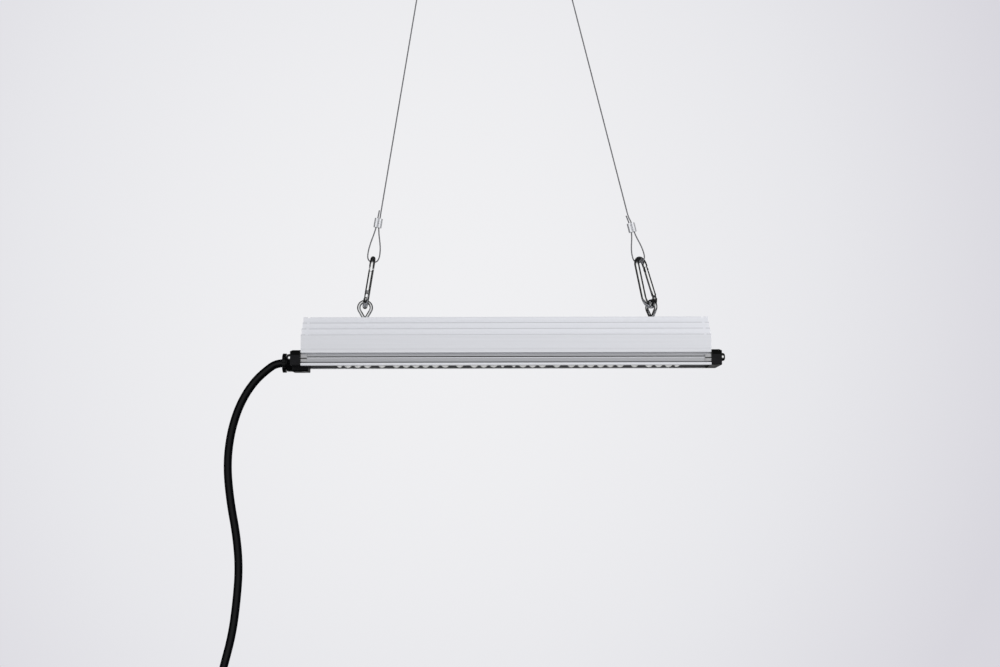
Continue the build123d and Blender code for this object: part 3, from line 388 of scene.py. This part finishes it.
# Mains cord: the hanging stretch, then its coil, on one smooth line
CORD_RADIUS = 5.35
COIL_MIDDLE = (-307.0, 4.0, -472.5)
COIL_REACH = [69.0, 63.35, 57.7, 52.05, 62.7, 68.35, 79.0]  # at the half turns' two ends
CROSSING = 2  # the half turn that crosses to the second layer, behind the first
LAYER = 2 * CORD_RADIUS + 0.6
STEPS = 6  # control points for half a turn
drop_route = [
    (-290.0, 0.0, 5.6),
    (-301.5, 0.0, 5.6),
    (-314.5, 0.4, -3.5),
    (-329.3, 1.2, -17.0),
    (-342.9, 2.2, -36.0),
    (-354.2, 3.9, -60.0),
    (-362.9, 6.8, -92.0),
    (-366.6, 10.4, -130.0),
    (-362.5, 14.8, -175.0),
    (-354.2, 18.6, -220.0),
    (-350.6, 21.0, -262.0),
    (-353.2, 20.9, -305.0),
    (-357.9, 18.0, -348.0),
    (-367.4, 11.5, -389.0),
    (-376.0, 4.0, -429.0),
]
coil_route = []
middle_x, middle_y, middle_z = COIL_MIDDLE
for half_turn, (reach, next_reach) in enumerate(zip(COIL_REACH, COIL_REACH[1:])):
    side = -1 if half_turn % 2 == 0 else 1
    centre = middle_x + side * (reach - next_reach) / 2
    # The spline cuts inside its control points, so these stand out a little
    radius = (reach + next_reach) / 2 / math.cos(math.pi / STEPS / 2)
    for step in range(STEPS):
        angle = math.pi * (step + 0.5) / STEPS
        crossed = 1.0 if half_turn > CROSSING else 0.0
        if half_turn == CROSSING:
            crossed = (1 - math.cos(angle)) / 2
        coil_route.append(
            (
                centre + side * radius * math.cos(angle),
                middle_y + LAYER * crossed,
                middle_z + side * radius * math.sin(angle),
            )
        )
coil_route.append((middle_x - COIL_REACH[-1], middle_y + LAYER, middle_z - 2 * CORD_RADIUS))


def spline(name, points, radius=0.0):
    """A smooth curve with those control points, thick only where it is given a radius."""
    data = bpy.data.curves.new(name, "CURVE")
    data.dimensions = "3D"
    data.resolution_u = 10
    data.bevel_depth = radius
    data.bevel_resolution = 6
    data.use_fill_caps = True
    line = data.splines.new("NURBS")
    line.points.add(len(points) - 1)
    for control, point in zip(line.points, points):
        control.co = (*point, 1.0)
    line.order_u = 3
    line.use_endpoint_u = True
    return add_object(name, data)


cord = spline(
    "mains_cord", [from_bar(*p) for p in drop_route + coil_route], radius=CORD_RADIUS / 1000
)
cord.data.materials.append(cord_rubber)
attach(cord, "light")
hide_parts("cord", "cord_coil")


# Wire ropes: strands laid round a core along each stretch, with sizes in millimetres
ROPE_RADIUS = 0.9
STRANDS = 6  # round the core
LAY_LENGTH = 11.0  # for one turn of the strands
RING_STEP = 1.1  # between the rings of a strand's mesh
RING_SIDES = 8
EYE_Z = 80.2  # the snap hooks' wire in the eyebolts, over the bar's lips
SEAT_Z = -0.034  # the ropes' eyes on the ceiling hooks, in the frame and in metres
FERRULE = 12.2  # length
BORE = 1.5  # from a ferrule's middle to each of its bores
LOWER_CROWN = 59.775  # from the eyebolt up to the lower loop's bottom
UPPER_CROWN = 3.9  # from the ceiling hook's seat up to the upper loop's top
UPPER_MOUTH = 59.7  # from the seat down to the upper ferrule's mouth
ROPE_GAP = 0.3  # between the rope's end and that mouth
BELLY = 0.38  # a loop's widest place, as a share of the way from its crown to its ferrule
LOOP_WIDE = 8.3  # half the loop's control width there
LOOP_TIGHT = 7.3  # the same at its crown


def follow(name, points):
    """Points at even steps along the smooth line through a route's control points."""
    guide = spline(name, points)
    guide.data.resolution_u = 24
    bpy.context.view_layer.update()
    mesh = bpy.data.meshes.new_from_object(guide)
    line = [v.co.copy() for v in mesh.vertices]
    bpy.data.objects.remove(guide)
    bpy.data.meshes.remove(mesh)
    length = sum((b - a).length for a, b in zip(line, line[1:]))
    count = max(2, round(length * 1000 / RING_STEP))
    even = [line[0]]
    wanted, done = length / count, 0.0
    for start, end in zip(line, line[1:]):
        run = (end - start).length
        while run > 0 and done + run >= wanted * len(even) and len(even) < count:
            even.append(start.lerp(end, (wanted * len(even) - done) / run))
        done += run
    even.append(line[-1])
    return even, length


def add_tube(verts, faces, centres, frames, radius):
    """Adds one tube's rings round those centres, with its two ends closed."""
    first = len(verts)
    for centre, (right, up) in zip(centres, frames):
        for side in range(RING_SIDES):
            angle = 2 * math.pi * side / RING_SIDES
            verts.append(
                centre + right * (radius * math.cos(angle)) + up * (radius * math.sin(angle))
            )
    last = len(verts) - RING_SIDES
    for low in range(first, last, RING_SIDES):
        high = low + RING_SIDES
        for side in range(RING_SIDES):
            after = (side + 1) % RING_SIDES
            faces.append((low + side, low + after, high + after, high + side))
    faces.append([first + side for side in reversed(range(RING_SIDES))])
    faces.append([last + side for side in range(RING_SIDES)])


def wire_rope(name, points, body, *replaced):
    """Laid strands round a core, along the line that the points control."""
    line, length = follow(name + "_guide", points)
    tangents = [
        (line[min(i + 1, len(line) - 1)] - line[max(i - 1, 0)]).normalized()
        for i in range(len(line))
    ]
    # Each point's frame turns as little as it can from the one before
    right = tangents[0].orthogonal().normalized()
    frames = []
    for tangent in tangents:
        right = (right - tangent * right.dot(tangent)).normalized()
        frames.append((right.copy(), tangent.cross(right)))
    strand_radius = ROPE_RADIUS / 3000
    verts, faces = [], []
    add_tube(verts, faces, line, frames, strand_radius)
    step = length / (len(line) - 1)
    for strand in range(STRANDS):
        centres = []
        for i, (point, (right, up)) in enumerate(zip(line, frames)):
            angle = 2 * math.pi * (i * step * 1000 / LAY_LENGTH + strand / STRANDS)
            out = right * math.cos(angle) + up * math.sin(angle)
            centres.append(point + out * 2 * strand_radius)
        add_tube(verts, faces, centres, frames, strand_radius)
    mesh = bpy.data.meshes.new(name)
    mesh.from_pydata(verts, [], faces)
    mesh.polygons.foreach_set("use_smooth", [True] * len(mesh.polygons))
    mesh.update()
    rope = add_object(name, mesh)
    mesh.materials.append(rope_steel)
    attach(rope, body)
    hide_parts(*replaced)


def hanger_points(eye, seat, corners):
    """Points given in millimetres across, up the rope from its eye, and away from the viewer."""
    up_rope = (seat - eye).normalized()
    across = Vector((up_rope.z, 0, -up_rope.x))
    away = Vector((0, 1, 0))
    return [
        eye + (across * aside + up_rope * rise + away * depth) / 1000
        for aside, rise, depth in corners
    ]


# The eye's X from the bar's middle, the seat's X in the frame and in metres, and the lower
# ferrule's mouth up the rope and its shift across
for side, eye_x, seat_x, mouth, shift in (
    ("left", -185.7, -0.08885, 106.6, -1.3),
    ("right", 192.1, 0.08885, 101.4, 0.8),
):
    eye = from_bar(eye_x, 0, EYE_Z)
    seat = Vector((seat_x, 0, SEAT_Z))
    rope_length = (seat - eye).length * 1000
    top_mouth = rope_length - UPPER_MOUTH
    top = top_mouth - ROPE_GAP
    crown = LOWER_CROWN
    belly = crown + BELLY * (mouth - crown)
    main, stub = shift + BORE, shift - BORE
    # Down to the lower ferrule, round the loop, and back through it to the cut end
    lower = [
        (0, top, BORE),
        (0, top - 2, BORE),
        (0, top - 11, 0),
        (0, top - 22, 0),
        (0, mouth + FERRULE + 20, 0),
        (0, mouth + FERRULE + 9, 0),
        (main, mouth + FERRULE, 0),
        (main, mouth - 2, 0),
        (LOOP_WIDE, belly, 0),
        (LOOP_TIGHT, crown, 0),
        (-LOOP_TIGHT, crown, 0),
        (-LOOP_WIDE, belly, 0),
        (stub, mouth - 2, 0),
        (stub, mouth + FERRULE, 0),
        (-2.4, mouth + FERRULE + 11.1, 0),
    ]
    wire_rope(
        side + "_wire_rope",
        hanger_points(eye, seat, lower),
        side + "_hanger",
        side + "_rope",
    )
    crown = rope_length + UPPER_CROWN
    belly = crown - BELLY * (crown - top_mouth - FERRULE)
    # Up from the upper ferrule, over the ceiling hook, and down to the cut end
    upper = [
        (0, top_mouth, BORE),
        (0, top_mouth + FERRULE + 2, BORE),
        (0, belly, LOOP_WIDE),
        (0, crown, LOOP_TIGHT),
        (0, crown, -LOOP_TIGHT),
        (0, belly, -LOOP_WIDE),
        (0, top_mouth + FERRULE + 2, -BORE),
        (0, top_mouth - 5, -BORE),
    ]
    wire_rope(
        side + "_wire_loop",
        hanger_points(eye, seat, upper),
        "rope_eyes",
        side + "_top_loop",
    )

# Light: a pale studio
world = bpy.data.worlds.new("studio")
bpy.context.scene.world = world
world.use_nodes = True
tree = world.node_tree
tree.nodes.clear()
place = node(tree, "ShaderNodeTexCoord")
split = node(tree, "ShaderNodeSeparateXYZ")
tree.links.new(place.outputs["Generated"], split.inputs[0])
east, north, up = split.outputs

# What the camera sees: brightest left of the middle, dimmer towards the corners
across = squared(tree, math_node(tree, "ADD", east, 0.045))
rise = squared(tree, math_node(tree, "SUBTRACT", up, 0.12))
spread = math_node(
    tree,
    "ADD",
    math_node(tree, "MULTIPLY", across, 5.4),
    math_node(tree, "MULTIPLY", rise, 4.4),
)
backdrop = ramp(
    tree,
    spread,
    [
        (0.0, (0.871, 0.871, 0.888)),
        (0.35, (0.80, 0.80, 0.83)),
        (0.8, (0.69, 0.68, 0.73)),
    ],
)
# What shines back from metal: a bright studio before it, dark flags at the sides
facing = math_node(tree, "MULTIPLY_ADD", north, 0.5, 0.5)  # 0 on the viewer's side
frontal = ramp(
    tree,
    facing,
    [
        (0.0, grey(1.0)),
        (0.08, grey(0.95)),
        (0.16, grey(0.2)),
        (0.28, grey(0.02)),
        (0.95, grey(0.02)),
        (0.985, grey(0.6)),
    ],
)
height = math_node(tree, "MULTIPLY_ADD", up, 0.5, 0.5)  # 0 straight down, 1 straight up
level = ramp(
    tree,
    height,
    [
        (0.0, grey(0.05)),
        (0.25, grey(0.15)),
        (0.42, grey(1.0)),
        (0.68, grey(1.0)),
        (0.85, grey(0.35)),
    ],
)
reflected = product(tree, frontal, level)
# What lights dull surfaces: mostly from above
diffuse_light = ramp(
    tree,
    height,
    [
        (0.0, (0.18, 0.18, 0.185)),
        (0.45, (0.33, 0.33, 0.34)),
        (0.6, (0.62, 0.62, 0.64)),
        (1.0, (0.9, 0.9, 0.92)),
    ],
)
rays = node(tree, "ShaderNodeLightPath")
seen = math_node(
    tree, "MAXIMUM", rays.outputs["Is Camera Ray"], rays.outputs["Is Transmission Ray"]
)
shone = mix(tree, rays.outputs["Is Glossy Ray"], diffuse_light, reflected)
background = node(tree, "ShaderNodeBackground")
tree.links.new(mix(tree, seen, shone, backdrop), background.inputs["Color"])
output = node(tree, "ShaderNodeOutputWorld")
tree.links.new(background.outputs[0], output.inputs[0])


def softbox(name, place, aim, size, power):
    """A soft rectangular lamp at a place, aimed at a point."""
    data = bpy.data.lights.new(name, "AREA")
    data.shape = "RECTANGLE"
    data.size, data.size_y = size
    data.energy = power
    lamp = add_object(name, data)
    lamp.visible_glossy = False  # the world alone shines back
    lamp.location = place
    lamp.rotation_euler = (Vector(aim) - Vector(place)).to_track_quat("-Z", "Y").to_euler()


AIM = (0.0, 0.0, -0.6)
softbox("key", (1.7, -1.4, 0.5), (0.1, 0.0, -0.6), (1.2, 0.8), 42.0)
softbox("fill", (-1.4, -1.4, 0.3), AIM, (0.8, 0.8), 4.0)
softbox("front", (0.0, -2.6, -0.3), AIM, (0.7, 1.2), 5.0)
softbox("floor", (0.0, -0.5, -1.8), AIM, (1.6, 0.8), 9.0)

bpy.context.scene.view_settings.view_transform = "Standard"
